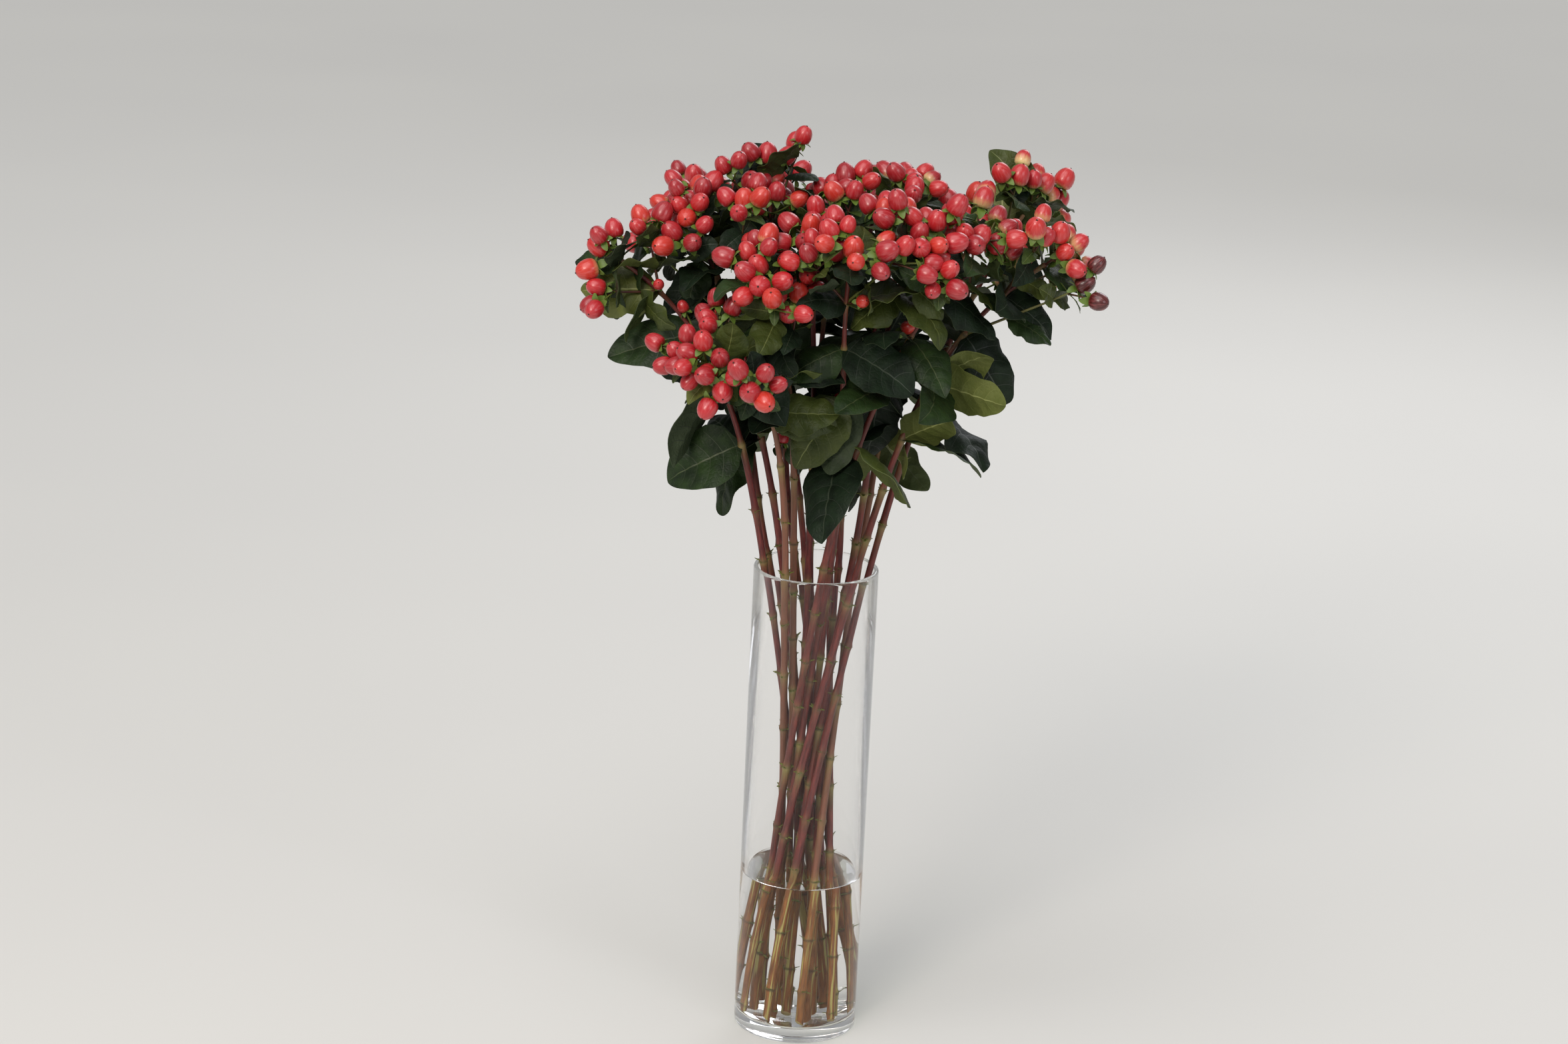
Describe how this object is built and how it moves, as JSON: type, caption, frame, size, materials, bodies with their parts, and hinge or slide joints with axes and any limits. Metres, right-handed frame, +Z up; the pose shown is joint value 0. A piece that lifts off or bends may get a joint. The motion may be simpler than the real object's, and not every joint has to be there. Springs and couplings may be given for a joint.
{
  "type": "vase of cut st john's wort berry stems",
  "caption": "Bunch of cut St John's wort stems with coral red berries and dark green leaves, standing in a tall clear glass cylinder vase part filled with water.",
  "frame": {"origin": "centre of the vase's flat underside, at the level of the table", "axes": "+Z up along the vase's axis, -Y towards the front, +X to the right seen from the front"},
  "size_m": [0.4145, 0.366, 0.7412],
  "materials": {
    "glass": "clear, smooth, fire-polished at the rim",
    "water": "clear, smooth",
    "bark": "smooth red-brown bark, satin",
    "foliage": "dark green leaves, satin",
    "berry": "coral red, smooth and glossy"
  },
  "bodies": {
    "root": {"vase": "glass", "water": "water", "stem_01": "bark", "stem_02": "bark", "stem_03": "bark", "stem_04": "bark", "stem_05": "bark", "stem_06": "bark", "stem_07": "bark", "stem_08": "bark", "stem_09": "bark", "stem_10": "bark", "stem_11": "bark", "stem_12": "bark", "stem_13": "bark", "stem_14": "bark", "stem_15": "bark", "stem_16": "bark", "stem_17": "bark", "stem_18": "bark", "head_01": "foliage", "head_02": "foliage", "head_03": "foliage", "head_04": "foliage", "head_05": "foliage", "head_06": "foliage", "head_07": "foliage", "head_08": "foliage", "head_09": "foliage", "head_10": "foliage", "head_11": "foliage", "head_12": "foliage", "head_13": "foliage", "head_14": "foliage", "head_15": "foliage", "head_16": "foliage", "head_17": "foliage", "head_18": "foliage"}
  },
  "joints": []
}
